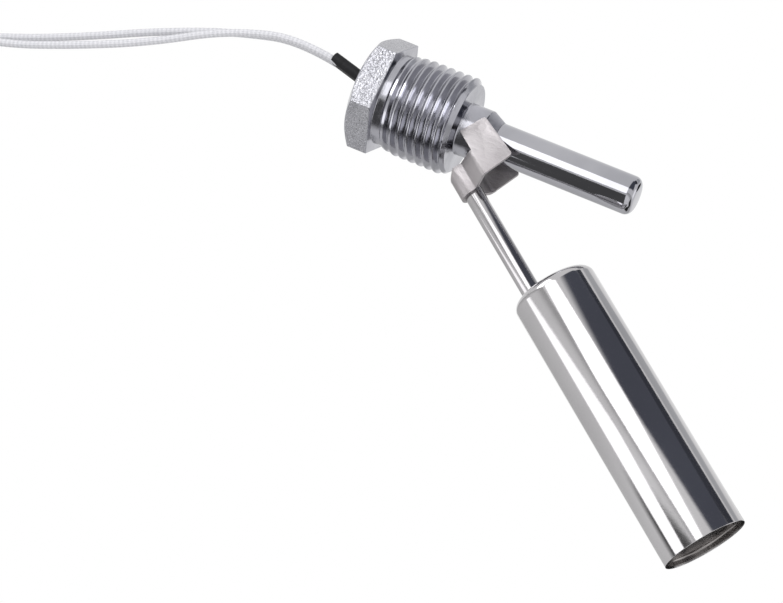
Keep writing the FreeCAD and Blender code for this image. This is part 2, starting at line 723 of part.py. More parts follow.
# ---------------------------------------------------------------- the whole part
def build():
    nodes = [make_plug(), make_tube()]
    glass, near_blade, far_blade = make_reed()
    near_wire, far_wire = make_inner_wires()
    lead_a = tube_along("lead_a", lead_route(1), val("lead_dia"))
    lead_b = tube_along("lead_b", lead_route(-1), val("lead_dia"))
    sleeve = make_sleeve()
    near_x = "glass_start - reed_lead + solder_len / 2"
    solder_near = bead("solder_near", (near_x, "0", "-reed_gap / 2 - reed_thick"), "solder_len",
                       [near_blade, near_wire])
    far_x = "glass_start + glass_len + 0.9"
    solder_far = bead("solder_far", (far_x, "-" + RETURN_Y, "reed_gap / 2"),
                      "solder_dia", [far_blade, far_wire])
    resin = make_resin([lead_a, lead_b, sleeve, near_wire, far_wire])
    coil, band = make_coil()
    nodes += [glass, near_blade, far_blade, near_wire, far_wire, solder_near, solder_far, make_wrap(),
              resin, sleeve, lead_a, lead_b, coil, band]
    nodes += make_tails()
    nodes.append(make_yoke())
    nodes += make_pins()
    nodes += [make_rod(), make_shell(), make_cap()]
    nodes += make_magnet()
    return nodes


def check(nodes):
    for thing in doc.Objects:
        if "Invalid" in thing.State or "Error" in thing.State:
            raise RuntimeError("%s did not build: %s" % (thing.Name, thing.State))
    for node in nodes:
        shape = node.Shape
        if shape.isNull() or not shape.isValid() or shape.Volume <= 0:
            raise RuntimeError(node.Label + " has no valid solid")
        if len(shape.Solids) != 1:
            raise RuntimeError("%s has %d solids" % (node.Label, len(shape.Solids)))


nodes = build()
doc.recompute()
check(nodes)
os.makedirs("parts", exist_ok=True)
for node in nodes:
    node.Shape.exportStep("parts/%s.step" % node.Label)
    box = node.Shape.BoundBox
    print("%-16s vol %9.2f  x %7.2f %7.2f  y %7.2f %7.2f  z %7.2f %7.2f" % (
        node.Label, node.Shape.Volume, box.XMin, box.XMax, box.YMin, box.YMax, box.ZMin, box.ZMax))
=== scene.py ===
import bisect
import math

import bmesh
import bpy
from mathutils import Matrix, Vector


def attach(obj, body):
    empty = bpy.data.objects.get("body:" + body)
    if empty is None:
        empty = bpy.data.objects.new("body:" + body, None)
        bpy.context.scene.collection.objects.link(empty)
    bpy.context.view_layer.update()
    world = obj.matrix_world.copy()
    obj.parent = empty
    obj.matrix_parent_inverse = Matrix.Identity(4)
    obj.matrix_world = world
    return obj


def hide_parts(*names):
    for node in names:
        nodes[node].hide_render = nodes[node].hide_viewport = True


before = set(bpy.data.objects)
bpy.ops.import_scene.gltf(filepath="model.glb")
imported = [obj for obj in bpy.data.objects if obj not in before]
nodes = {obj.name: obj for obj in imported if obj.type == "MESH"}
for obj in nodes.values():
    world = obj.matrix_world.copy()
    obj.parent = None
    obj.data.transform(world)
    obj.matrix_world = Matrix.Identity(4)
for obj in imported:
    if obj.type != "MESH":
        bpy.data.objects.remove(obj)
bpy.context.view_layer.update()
MM = 0.001


# ---------------------------------------------------------------- camera
SENSOR_WIDTH = 36.0
FOCAL_LENGTH = 114.94
SHIFT = (-0.12155, -0.0079)
CAMERA_PLACE = (0.156625, -0.496098, -0.133625)
CAMERA_RIGHT = (0.89797, 0.129473, 0.420578)
CAMERA_UP = (-0.375544, -0.272716, 0.885772)
CAMERA_BACK = (0.229382, -0.953343, -0.196268)


def set_camera():
    """The photograph's view: from the front and a little below, with the picture tilted."""
    data = bpy.data.cameras.new("view_camera")
    data.sensor_width = SENSOR_WIDTH
    data.lens = FOCAL_LENGTH
    data.shift_x, data.shift_y = SHIFT
    data.clip_start = 0.01
    data.clip_end = 20
    cam = bpy.data.objects.new("view_camera", data)
    bpy.context.scene.collection.objects.link(cam)
    turn = Matrix((CAMERA_RIGHT, CAMERA_UP, CAMERA_BACK)).transposed().to_4x4()
    cam.matrix_world = Matrix.Translation(CAMERA_PLACE) @ turn
    bpy.context.scene.camera = cam


set_camera()


# ---------------------------------------------------------------- material helpers
class Nodes:
    """A short way to write a node tree."""

    def __init__(self, name):
        self.mat = bpy.data.materials.new(name)
        self.mat.use_nodes = True
        self.tree = self.mat.node_tree
        self.bsdf = self.tree.nodes["Principled BSDF"]

    def add(self, kind, **values):
        made = self.tree.nodes.new(kind)
        for key, value in values.items():
            if key in made.inputs.keys():
                made.inputs[key].default_value = value
            else:
                setattr(made, key, value)
        return made

    def link(self, a, b):
        self.tree.links.new(a, b)

    def set(self, **values):
        for key, value in values.items():
            self.bsdf.inputs[key.replace("_", " ")].default_value = value

    def coords(self, scale=(1, 1, 1), uv=False):
        place = self.add("ShaderNodeTexCoord")
        mapping = self.add("ShaderNodeMapping")
        mapping.inputs["Scale"].default_value = scale
        self.link(place.outputs["UV" if uv else "Object"], mapping.inputs["Vector"])
        return mapping.outputs["Vector"]

    def noise(self, vector, scale, detail=4.0, rough=0.55):
        made = self.add("ShaderNodeTexNoise", Scale=scale, Detail=detail, Roughness=rough)
        self.link(vector, made.inputs["Vector"])
        return made.outputs["Fac"]

    def ramp(self, value, low, high, out_low, out_high):
        made = self.add("ShaderNodeMapRange")
        made.inputs["From Min"].default_value = low
        made.inputs["From Max"].default_value = high
        made.inputs["To Min"].default_value = out_low
        made.inputs["To Max"].default_value = out_high
        self.link(value, made.inputs["Value"])
        return made.outputs["Result"]

    def math(self, op, a, b=None):
        made = self.add("ShaderNodeMath", operation=op)
        for slot, value in ((0, a), (1, b)):
            if value is None:
                continue
            if isinstance(value, (int, float)):
                made.inputs[slot].default_value = value
            else:
                self.link(value, made.inputs[slot])
        return made.outputs[0]

    def mix(self, fac, a, b):
        made = self.add("ShaderNodeMix", data_type="RGBA")
        self.link(fac, made.inputs["Factor"])
        made.inputs["A"].default_value = (*a, 1)
        made.inputs["B"].default_value = (*b, 1)
        return made.outputs["Result"]

    def shades(self, cloud, dark, light):
        """Soft patches of two close colours."""
        return self.mix(self.ramp(cloud, 0.3, 0.7, 0, 1), dark, light)

    def bump(self, height, strength, distance, normal=None):
        made = self.add("ShaderNodeBump", Strength=strength, Distance=distance)
        self.link(height, made.inputs["Height"])
        if normal is not None:
            self.link(normal, made.inputs["Normal"])
        return made.outputs["Normal"]

    def finish(self, colour=None, rough=None, normal=None):
        for name, value in (("Base Color", colour), ("Roughness", rough), ("Normal", normal)):
            if value is not None:
                self.link(value, self.bsdf.inputs[name])
        return self.mat


def steel(name, dark, light, rough, grain=(1, 1, 1), grain_scale=900, bump=0.05,
          cloud_scale=60):
    """Metal with cloudy polish and fine marks drawn out along one axis."""
    m = Nodes(name)
    m.set(Metallic=1.0)
    plain = m.coords()
    drawn = m.coords(grain)
    cloud = m.noise(plain, cloud_scale, 3)
    marks = m.noise(drawn, grain_scale, 5, 0.65)
    colour = m.shades(cloud, dark, light)
    both = m.math("ADD", m.math("MULTIPLY", cloud, 0.5), m.math("MULTIPLY", marks, 0.5))
    roughness = m.ramp(both, 0.35, 0.65, rough[0], rough[1])
    return m.finish(colour, roughness, m.bump(marks, bump, 0.0001))


# ---------------------------------------------------------------- mesh helpers
def add_object(name, mesh, material, body, replaced):
    """A piece that rides on a body, in place of the nodes that it replaces."""
    obj = bpy.data.objects.new(name, mesh)
    bpy.context.scene.collection.objects.link(obj)
    mesh.materials.append(material)
    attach(obj, body)
    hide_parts(*replaced)
    return obj


def finish_mesh(bm, name, sharp=30, merge=1e-7):
    """The welded mesh, smooth up to the sharp angle in degrees."""
    bmesh.ops.remove_doubles(bm, verts=bm.verts, dist=merge)
    bmesh.ops.dissolve_degenerate(bm, edges=bm.edges, dist=merge)
    bmesh.ops.recalc_face_normals(bm, faces=bm.faces)
    limit = math.radians(sharp)
    for face in bm.faces:
        face.smooth = True
    for edge in bm.edges:
        edge.smooth = len(edge.link_faces) != 2 or edge.calc_face_angle(0) < limit
    mesh = bpy.data.meshes.new(name)
    bm.to_mesh(mesh)
    bm.free()
    return mesh


def grid_mesh(bm, rows, closed_rows=False):
    """Quads between neighbouring rings of points; every ring has the same count."""
    made = [[bm.verts.new(p) for p in row] for row in rows]
    pairs = list(zip(made, made[1:]))
    if closed_rows:
        pairs.append((made[-1], made[0]))
    for a, b in pairs:
        for i in range(len(a)):
            k = (i + 1) % len(a)
            bm.faces.new((a[i], a[k], b[k], b[i]))


def ring(x, r, count):
    """A circle about X, starting on +Y and turning towards +Z."""
    radius = r if callable(r) else (lambda t: r)
    out = []
    for i in range(count):
        t = 2 * math.pi * i / count
        out.append(Vector((x, radius(t) * math.cos(t), radius(t) * math.sin(t))) * MM)
    return out


def rounded(profile, radii, steps=6):
    """The outline's corners rounded by the given radii, in mm."""
    out = []
    for i, p in enumerate(profile):
        r = radii.get(i, 0)
        if r == 0:
            out.append(p)
            continue
        here = Vector(p)
        back = Vector(profile[i - 1]) - here
        ahead = Vector(profile[(i + 1) % len(profile)]) - here
        half = back.angle(ahead) / 2
        cut = r / math.tan(half)
        start = here + back.normalized() * cut
        end = here + ahead.normalized() * cut
        centre = here + (back.normalized() + ahead.normalized()).normalized() * (r / math.sin(half))
        a = start - centre
        b = end - centre
        sweep = a.angle_signed(b)
        for k in range(steps + 1):
            turn = -sweep * k / steps
            c, s = math.cos(turn), math.sin(turn)
            out.append((centre.x + a.x * c - a.y * s, centre.y + a.x * s + a.y * c))
    return out


def lathe(name, profile, count=128, sharp=30, closed=True):
    """A body of revolution about X from (x, radius) points in mm."""
    bm = bmesh.new()
    grid_mesh(bm, [ring(x, r, count) for x, r in profile], closed)
    return finish_mesh(bm, name, sharp)


def place(mesh, matrix):
    mesh.transform(matrix)
    return mesh


# ---------------------------------------------------------------- sizes that pieces share, in mm
PIVOT_X = 22.5
DROP = math.radians(35.9)
ROD_OFF = 8.43
FLOAT_OFF = 4.14
FLOAT_START = 35.7

ON_ARM = Matrix.Translation((PIVOT_X * MM, 0, 0)) @ Matrix.Rotation(DROP, 4, "Y")
ON_FLOAT = ON_ARM @ Matrix.Translation((FLOAT_START * MM, 0, -(ROD_OFF - FLOAT_OFF) * MM))


# ---------------------------------------------------------------- leads
LEAD_RADIUS = 0.85
LEAD_STEP = 0.4             # between the rings of a lead's mesh
LEAD_SIDES = 20

COIL_X = -98.3
COIL_Z = -35.0
COIL_RADIUS = 9.5
COIL_START = math.radians(108)
COIL_TURNS = 3.2
COIL_WOUND = 2.2            # the turns that wind inwards, before the lead moves to the coil's side
COIL_STEPS = 48
LEAD_PITCH = 1.75
LEAD_ASIDE = 0.88           # each lead of the pair lies this far from the middle
LEAD_CLEAR = 1.78           # between the axes of two turns that lie on each other
MOVE_TURN = 0.5             # the part of a turn in which the lead moves aside, and then in or out
TAIL_DEEP = 0.6             # the two tails leave this far to either side of the coil's circle

ROUTE_A = [(-4.5, 0.86, 0.83), (-22.2, 0.86, 5.4), (-39.9, 1.06, 1.1), (-55.7, 1.76, -5.0),
           (-70.7, 2.06, -12.3), (-85.9, 1.76, -19.0)]
ROUTE_B = [(-4.5, -0.86, 0.83), (-22.2, -0.86, 5.4), (-39.9, -0.86, 0.6), (-54.9, -1.26, -8.7),
           (-70.1, -1.76, -15.9), (-85.9, -1.46, -21.9)]


def coil_points(side):
    """Three and a fifth turns of one lead, winding inwards, then out along the coil's side."""
    out = []
    for k in range(COIL_STEPS + 1):
        turn = COIL_TURNS * k / COIL_STEPS
        if turn <= COIL_WOUND:
            deep = LEAD_PITCH * (1 - turn)
            aside = 0.0
        else:
            late = turn - COIL_WOUND
            below = LEAD_PITCH * (2 - turn)
            ease = min(1.0, late / MOVE_TURN)
            aside = LEAD_PITCH * ease
            deep = below - math.sqrt(max(0.0, LEAD_CLEAR ** 2 - aside ** 2))
            if late > MOVE_TURN:
                goal = -TAIL_DEEP * side
                deep += (goal - deep) * (late - MOVE_TURN) / MOVE_TURN
        angle = COIL_START + 2 * math.pi * turn
        r = COIL_RADIUS + deep
        out.append((COIL_X + r * math.cos(angle), side * (LEAD_ASIDE + aside),
                    COIL_Z + r * math.sin(angle)))
    return out


def lead_points(side):
    """The control points of one lead: its route to the coil, the coil, and the tail below it."""
    route = ROUTE_A if side > 0 else ROUTE_B
    out_x = COIL_X - COIL_RADIUS
    tail = [(out_x + side * TAIL_DEEP - 0.2, side * 2.4, COIL_Z - 8.5),
            (out_x + side * 1.2 + 0.6, side * 2.7, COIL_Z - 17.0)]
    return [Vector(p) * MM for p in route + coil_points(side) + tail]


def spline_line(points):
    """Points along one smooth spline that has these as its control points."""
    data = bpy.data.curves.new("lead_line", "CURVE")
    data.dimensions = "3D"
    data.resolution_u = 10
    spline = data.splines.new("NURBS")
    spline.points.add(len(points) - 1)
    for slot, p in zip(spline.points, points):
        slot.co = (*p, 1)
    spline.order_u = 3
    spline.use_endpoint_u = True
    obj = bpy.data.objects.new("lead_line", data)
    bpy.context.scene.collection.objects.link(obj)
    bpy.context.view_layer.update()
    shown = obj.evaluated_get(bpy.context.evaluated_depsgraph_get())
    mesh = bpy.data.meshes.new_from_object(shown)
    line = [v.co.copy() for v in mesh.vertices]
    bpy.data.objects.remove(obj)
    bpy.data.meshes.remove(mesh)
    return line


def even(line, step):
    """The line's points again, a step apart, and the line's length."""
    far = [0.0]
    for a, b in zip(line, line[1:]):
        far.append(far[-1] + (b - a).length)
    count = max(2, round(far[-1] / step))
    out = []
    for k in range(count + 1):
        want = far[-1] * k / count
        i = min(max(bisect.bisect_right(far, want) - 1, 0), len(line) - 2)
        span = far[i + 1] - far[i]
        part = (want - far[i]) / span if span > 0 else 0
        out.append(line[i].lerp(line[i + 1], part))
    return out, far[-1]


def tube_mesh(name, line, radius, sides):
    """A tube along the line with a UV map: turns round it, and millimetres along it."""
    bm = bmesh.new()
    uv = bm.loops.layers.uv.new("UVMap")
    across = Vector((0, 1, 0))
    rings = []
    for i, p in enumerate(line):
        ahead = line[min(i + 1, len(line) - 1)] - line[max(i - 1, 0)]
        ahead.normalize()
        across = (across - ahead * across.dot(ahead)).normalized()
        other = ahead.cross(across)
        rings.append([bm.verts.new(p + (across * math.cos(2 * math.pi * k / sides)
                                        + other * math.sin(2 * math.pi * k / sides)) * radius)
                      for k in range(sides)])
    far = 0.0
    for i in range(len(rings) - 1):
        step = (line[i + 1] - line[i]).length / MM
        for k in range(sides):
            n = (k + 1) % sides
            face = bm.faces.new((rings[i][k], rings[i][n], rings[i + 1][n], rings[i + 1][k]))
            places = ((k, far), (k + 1, far), (k + 1, far + step), (k, far + step))
            for loop, (turn, along) in zip(face.loops, places):
                loop[uv].uv = (turn / sides, along)
        far += step
    for end in (rings[0], rings[-1]):
        face = bm.faces.new(end)
        for loop in face.loops:
            loop[uv].uv = (0, 0)
    bmesh.ops.recalc_face_normals(bm, faces=bm.faces)
    for face in bm.faces:
        face.smooth = len(face.verts) == 4
    mesh = bpy.data.meshes.new(name)
    bm.to_mesh(mesh)
    bm.free()
    return mesh


BRAID_STRANDS = 5           # strands each way round a lead
BRAID_RISE = 1.9            # millimetres along the lead for one crossing


def braid_material():
    """Glass-fibre braid: two crossing sets of strands with fine fibres on them."""
    m = Nodes("glass_braid")
    uv = m.coords(uv=True)
    split = m.add("ShaderNodeSeparateXYZ")
    m.link(uv, split.inputs[0])
    turns = m.math("MULTIPLY", split.outputs[0], 2 * math.pi * BRAID_STRANDS)
    along = m.math("MULTIPLY", split.outputs[1], 2 * math.pi / BRAID_RISE)
    one = m.math("SINE", m.math("ADD", turns, along))
    two = m.math("SINE", m.math("SUBTRACT", turns, along))
    weave = m.ramp(m.math("MULTIPLY", one, two), -1, 1, 0, 1)
    fibre = m.noise(m.coords(), 2600, 4, 0.7)
    height = m.math("ADD", m.math("MULTIPLY", weave, 0.6), fibre)
    colour = m.mix(m.ramp(height, 0.45, 1.15, 0, 1), (0.46, 0.46, 0.49), (0.66, 0.66, 0.69))
    m.set(Roughness=0.62, Sheen_Weight=0.3, Sheen_Roughness=0.4)
    return m.finish(colour, None, m.bump(height, 0.5, 0.00008))


def make_leads():
    braid = braid_material()
    for name, side in (("a", 1), ("b", -1)):
        line, length = even(spline_line(lead_points(side)), LEAD_STEP * MM)
        replaced = ["lead_" + name, "lead_tail_" + name]
        if side > 0:
            replaced.append("lead_coil")
        piece = "braided_lead_" + name
        mesh = tube_mesh(piece, line, LEAD_RADIUS * MM, LEAD_SIDES)
        obj = add_object(piece, mesh, braid, "switch", replaced)


make_leads()


# ---------------------------------------------------------------- stage
WORLD_LEVEL = 0.62
FLOOR_Z = -0.40
FLOOR_RADIUS = 4.0


def world_light():
    """White to the camera, to bright metal and through glass, and a softer level as light."""
    world = bpy.data.worlds.new("studio")
    bpy.context.scene.world = world
    world.use_nodes = True
    tree = world.node_tree
    tree.nodes.clear()
    out = tree.nodes.new("ShaderNodeOutputWorld")

    def background(strength):
        made = tree.nodes.new("ShaderNodeBackground")
        made.inputs["Color"].default_value = (1, 1, 1, 1)
        made.inputs["Strength"].default_value = strength
        return made.outputs[0]

    def either(a, b):
        made = tree.nodes.new("ShaderNodeMath")
        made.operation = "MAXIMUM"
        tree.links.new(a, made.inputs[0])
        tree.links.new(b, made.inputs[1])
        return made.outputs[0]

    path = tree.nodes.new("ShaderNodeLightPath")
    seen = either(either(path.outputs["Is Camera Ray"], path.outputs["Is Glossy Ray"]),
                  path.outputs["Is Transmission Ray"])
    mix = tree.nodes.new("ShaderNodeMixShader")
    for socket, value in zip(mix.inputs, (seen, background(WORLD_LEVEL), background(1.0))):
        tree.links.new(value, socket)
    tree.links.new(mix.outputs[0], out.inputs[0])


def make_floor():
    m = Nodes("floor_pale")
    m.set(Roughness=0.9)
    m.finish(m.mix(m.noise(m.coords(), 3, 2), (0.90, 0.90, 0.90), (0.93, 0.93, 0.93)))
    bm = bmesh.new()
    bmesh.ops.create_circle(bm, cap_ends=True, segments=96, radius=FLOOR_RADIUS)
    mesh = bpy.data.meshes.new("floor")
    bm.to_mesh(mesh)
    bm.free()
    obj = bpy.data.objects.new("floor", mesh)
    mesh.materials.append(m.mat)
    obj.location = (0, 0, FLOOR_Z)
    bpy.context.scene.collection.objects.link(obj)


def soft_light(name, where, at, size, watts):
    data = bpy.data.lights.new(name, "AREA")
    data.shape = "RECTANGLE"
    data.size, data.size_y = size
    data.energy = watts
    obj = bpy.data.objects.new(name, data)
    bpy.context.scene.collection.objects.link(obj)
    obj.location = where
    obj.rotation_euler = (Vector(at) - Vector(where)).to_track_quat("-Z", "Y").to_euler()
    obj.visible_camera = False
    obj.visible_glossy = False


def card(name, corners, strength, colour=(1, 1, 1), edge=0.08):
    """A reflector or flag that only the metal sees, with soft edges."""
    m = Nodes(name)
    tree = m.tree
    tree.nodes.remove(m.bsdf)
    out = next(n for n in tree.nodes if n.type == "OUTPUT_MATERIAL")
    split = m.add("ShaderNodeSeparateXYZ")
    m.link(m.coords(uv=True), split.inputs[0])
    sides = []
    for axis in (0, 1):
        value = split.outputs[axis]
        sides.append(m.ramp(value, 0, edge, 0, 1))
        sides.append(m.ramp(value, 1, 1 - edge, 0, 1))
    cover = m.math("MULTIPLY", m.math("MULTIPLY", sides[0], sides[1]),
                   m.math("MULTIPLY", sides[2], sides[3]))
    glow = m.add("ShaderNodeEmission", Strength=strength)
    glow.inputs["Color"].default_value = (*colour, 1)
    clear = m.add("ShaderNodeBsdfTransparent")
    mix = m.add("ShaderNodeMixShader")
    m.link(cover, mix.inputs[0])
    m.link(clear.outputs[0], mix.inputs[1])
    m.link(glow.outputs[0], mix.inputs[2])
    m.link(mix.outputs[0], out.inputs["Surface"])
    bm = bmesh.new()
    uv = bm.loops.layers.uv.new("UVMap")
    face = bm.faces.new([bm.verts.new(c) for c in corners])
    for loop, place_uv in zip(face.loops, ((0, 0), (1, 0), (1, 1), (0, 1))):
        loop[uv].uv = place_uv
    mesh = bpy.data.meshes.new(name)
    bm.to_mesh(mesh)
    bm.free()
    mesh.materials.append(m.mat)
    obj = bpy.data.objects.new(name, mesh)
    bpy.context.scene.collection.objects.link(obj)
    obj.visible_camera = False
    obj.visible_diffuse = False
    obj.visible_shadow = False
    obj.visible_transmission = False


PART_MIDDLE = Vector((0.05, 0, -0.02))
FLOAT_MIDDLE = Vector((0.075, 0, -0.043))
CAP_MIDDLE = Vector((0.102, 0, -0.063))
COOL = (0.75, 0.8, 1.0)


def towards(azimuth, elevation, distance, middle):
    az = math.radians(azimuth)
    el = math.radians(elevation)
    level = math.cos(el)
    return middle + distance * Vector((level * math.sin(az), level * math.cos(az), math.sin(el)))


def patch(name, az, el, distance, strength, colour=(1, 1, 1), edge=0.1, middle=PART_MIDDLE):
    """A card between two azimuths and two elevations as the part sees it."""
    corners = [towards(a, e, distance, middle)
               for a, e in ((az[0], el[0]), (az[1], el[0]), (az[1], el[1]), (az[0], el[1]))]
    card(name, corners, strength, colour, edge)


world_light()
make_floor()
soft_light("key_light", (-0.25, -0.9, 0.75), PART_MIDDLE, (0.9, 0.7), 9)
soft_light("fill_light", (0.8, -0.6, 0.3), PART_MIDDLE, (0.7, 0.7), 4)

# bright cards, for the metal's highlights
patch("key_card", (-152, -181), (-13, 23), 0.9, 2.6, edge=0.06)
patch("low_card", (-97, -142), (-52, -24), 0.42, 2.2, edge=0.08, middle=FLOAT_MIDDLE)
patch("thread_card", (-118, -147), (-3, 30), 0.8, 7.0, edge=0.15)
patch("side_card", (62, 92), (0, 26), 0.8, 1.7, edge=0.15)

# dark cards, for the dark bands of the float, the tube, the thread and the float's end cap
patch("flank_flag", (24, 62), (17, 36), 0.8, 0.03, (0.8, 0.8, 1.0), edge=0.12)
patch("side_flag", (48, 96), (-44, -6), 0.85, 0.06, edge=0.15)
patch("roof_flag", (70, 142), (46, 80), 0.62, 0.08, COOL, edge=0.15, middle=FLOAT_MIDDLE)
patch("brow_flag", (112, 187), (18, 76), 0.6, 0.14, COOL, edge=0.1, middle=FLOAT_MIDDLE)
patch("back_grey", (14, 66), (42, 72), 0.8, 0.62, (0.95, 0.97, 1.0), edge=0.15,
      middle=FLOAT_MIDDLE)
patch("cap_flag", (-20, 50), (-48, 26), 0.07, 0.03, edge=0.12, middle=CAP_MIDDLE)
card("floor_flag", [(-0.29, -0.98, -0.39), (0.12, -0.98, -0.39), (0.12, 0.11, -0.39),
                    (-0.29, 0.11, -0.39)], 0.11, edge=0.11)


# ---------------------------------------------------------------- plug
THREAD_PITCH = 2.0
THREAD_START = 1.5
THREAD_END = 17.3
THREAD_TURN = 0.782         # where in a turn the helix begins
THREAD_TURNS = 11
RUN_IN = 2.0                # the length over which the groove reaches its depth
FLATS = 23.0
HEX_BACK = -5.7
HEX_RIM = 11.2              # the radius at which the back's bevel begins
CORNER_BREAK = 0.05
RELIEF = 10.1
GROOVE = 0.33               # the thread's floor below the relief
WELL_RADIUS = 7.0
WELL_FLOOR = 4.3
BORE_RADIUS = 2.6
SPIGOT_RADIUS = 3.5
SPIGOT_END = 27.2
CONE_START = 22.3
CONE_END = 25.2
TUBE_RADIUS = 4.25
PLUG_COUNT = 360            # points round the plug

# one ridge of the thread: the part of a pitch, and the radius there
RIDGE = [(0.0, 9.77), (0.06, 9.80), (0.11, 9.90), (0.36, 10.76), (0.40, 10.91), (0.43, 10.98),
         (0.5, 11.0), (0.57, 10.98), (0.60, 10.91), (0.64, 10.76), (0.89, 9.90), (0.94, 9.80)]
# the largest radius along the thread: a run-out at the relief, and a chamfer at the end
RUN_OUT = [(1.5, 10.12), (2.2, 10.5), (3.9, 10.8), (5.3, 11.0), (16.2, 11.0), (17.3, 9.9)]
# from the thread's end face over the collar and the cone to the bore
PLUG_FRONT = [(THREAD_END, 6.3), (17.4, 5.9), (17.65, 5.8), (22.15, 5.8), (CONE_START, 5.7),
              (25.05, 4.32), (CONE_END, TUBE_RADIUS), (CONE_END, SPIGOT_RADIUS),
              (SPIGOT_END, SPIGOT_RADIUS), (SPIGOT_END, BORE_RADIUS)]


def read_off(points, x):
    """The height over x of a broken line through the points."""
    for (x0, y0), (x1, y1) in zip(points, points[1:]):
        if x <= x1:
            return y0 + (y1 - y0) * max(0.0, x - x0) / (x1 - x0)
    return points[-1][1]


def on_circle(x, radius, angle):
    return Vector((x, radius * math.cos(angle), radius * math.sin(angle))) * MM


def thread_radius(x, turn):
    """The thread's radius over x, where turn is the fraction of a turn round the axis."""
    phase = (x / THREAD_PITCH - turn + THREAD_TURN) % 1.0
    radius = read_off(RIDGE + [(1.0, RIDGE[0][1])], phase)
    run_in = min(1.0, max(0.0, (x - THREAD_START) / RUN_IN))
    radius = max(radius, RELIEF - GROOVE * run_in)
    return min(radius, read_off(RUN_OUT, x))


def thread_rows(count):
    """Rows that follow the helix, cut off square at both ends."""
    out = []
    for whole in range(THREAD_TURNS):
        for phase, _ in RIDGE:
            points = []
            for i in range(count + 1):
                turn = i / count
                x = (whole + phase + turn - THREAD_TURN) * THREAD_PITCH
                x = min(max(x, THREAD_START), THREAD_END)
                points.append(on_circle(x, thread_radius(x, turn), 2 * math.pi * turn))
            out.append(points)
    return out


def hex_radius(t, inset=0.0):
    """The hex's radius at angle t from +Y, with its corners just broken."""
    step = math.radians(60)
    away = (t + step / 2) % step - step / 2
    flat = (FLATS / 2 - inset) / math.cos(away)
    return min(flat, FLATS / math.sqrt(3) - CORNER_BREAK - inset)


def bevel_row(lift, inset):
    """The edge between a flat and the back's 30 degree bevel, which dips at each corner."""
    out = []
    for i in range(PLUG_COUNT):
        t = 2 * math.pi * i / PLUG_COUNT
        r = hex_radius(t, inset)
        out.append(on_circle(HEX_BACK + (r - HEX_RIM) * math.tan(math.radians(30)) + lift, r, t))
    return out


def plug_mesh():
    def turned_rows(points):
        return [ring(x, r, PLUG_COUNT) for x, r in points]

    rows = turned_rows([(SPIGOT_END, BORE_RADIUS), (WELL_FLOOR, BORE_RADIUS),
                        (WELL_FLOOR, WELL_RADIUS), (HEX_BACK, WELL_RADIUS),
                        (HEX_BACK, HEX_RIM - 0.15), (HEX_BACK + 0.05, HEX_RIM)])
    rows += [bevel_row(0.0, 0.10), bevel_row(0.12, 0.0)]
    rows += turned_rows([(-0.14, hex_radius), (0.0, lambda t: hex_radius(t, 0.14)),
                         (0.0, RELIEF + 0.2), (0.05, RELIEF + 0.06), (0.2, RELIEF),
                         (THREAD_START, RELIEF)])
    bm = bmesh.new()
    grid_mesh(bm, rows)
    grid = [[bm.verts.new(p) for p in row] for row in thread_rows(PLUG_COUNT)]
    for a, b in zip(grid, grid[1:]):
        for i in range(PLUG_COUNT):
            bm.faces.new((a[i], a[i + 1], b[i + 1], b[i]))
    end_edge = (THREAD_END, lambda t: thread_radius(THREAD_END, t / (2 * math.pi)))
    grid_mesh(bm, turned_rows([end_edge] + PLUG_FRONT))
    bmesh.ops.remove_doubles(bm, verts=bm.verts, dist=2e-6)
    return finish_mesh(bm, "threaded_plug", 24, 2e-6)


def flat_material():
    """The hex's milled flats: plating over a fine grit."""
    m = Nodes("plated_flats")
    m.set(Metallic=1.0)
    plain = m.coords()
    fine = m.noise(plain, 2200, 2, 0.6)
    coarse = m.noise(m.coords((1, 1, 1.6)), 1100, 2, 0.5)
    cloud = m.noise(plain, 160, 3)
    height = m.math("ADD", m.math("MULTIPLY", fine, 1.2), m.math("MULTIPLY", coarse, 0.8))
    colour = m.shades(cloud, (0.37, 0.37, 0.40), (0.45, 0.45, 0.48))
    rough = m.ramp(fine, 0.3, 0.7, 0.22, 0.34)
    return m.finish(colour, rough, m.bump(height, 0.8, 0.0003))


def turned_material():
    """Bright plating over fine turning marks and a few pits."""
    m = Nodes("plated_turned")
    m.set(Metallic=1.0)
    plain = m.coords()
    turned = m.noise(m.coords((1, 0.02, 0.02)), 2600, 5, 0.7)
    pits = m.noise(plain, 900, 5, 0.75)
    cloud = m.noise(plain, 160, 3)
    colour = m.shades(cloud, (0.32, 0.32, 0.35), (0.44, 0.44, 0.48))
    rough = m.ramp(m.math("ADD", turned, pits), 0.7, 1.3, 0.06, 0.22)
    bumped = m.bump(turned, 0.12, 0.0001, m.bump(pits, 0.10, 0.0002))
    return m.finish(colour, rough, bumped)


def make_plug():
    mesh = plug_mesh()
    add_object("threaded_plug", mesh, turned_material(), "switch", ["plug_body"])
    mesh.materials.append(flat_material())
    mesh.materials.append(steel("weld_zone", (0.36, 0.36, 0.39), (0.44, 0.44, 0.48), (0.40, 0.55),
                                (1, 0.1, 0.1), 1200, 0.1, 120))
    on_hex = HEX_RIM + 0.05
    for face in mesh.polygons:
        c = face.center / MM
        if HEX_BACK < c.x < 0 and math.hypot(c.y, c.z) > on_hex and abs(face.normal.x) < 0.3:
            face.material_index = 1
        elif CONE_START < c.x < CONE_END:
            face.material_index = 2


make_plug()


# ---------------------------------------------------------------- reed tube, rod and float
TUBE_BORE = 3.55
TUBE_END = 57.5
TUBE_FLOOR = 56.8
ROD_RADIUS = 2.1
ROD_START = 4.2
ROD_END = 37.7
FLOAT_RADIUS = 9.2
FLOAT_LENGTH = 63.0
FLOAT_INNER = 8.86
FLOAT_WALL = 0.4
CAP_RADIUS = 8.8
CAP_INNER = 8.42
CAP_FACE = 61.5
CAP_BACK = 61.1
CAP_END = 62.86


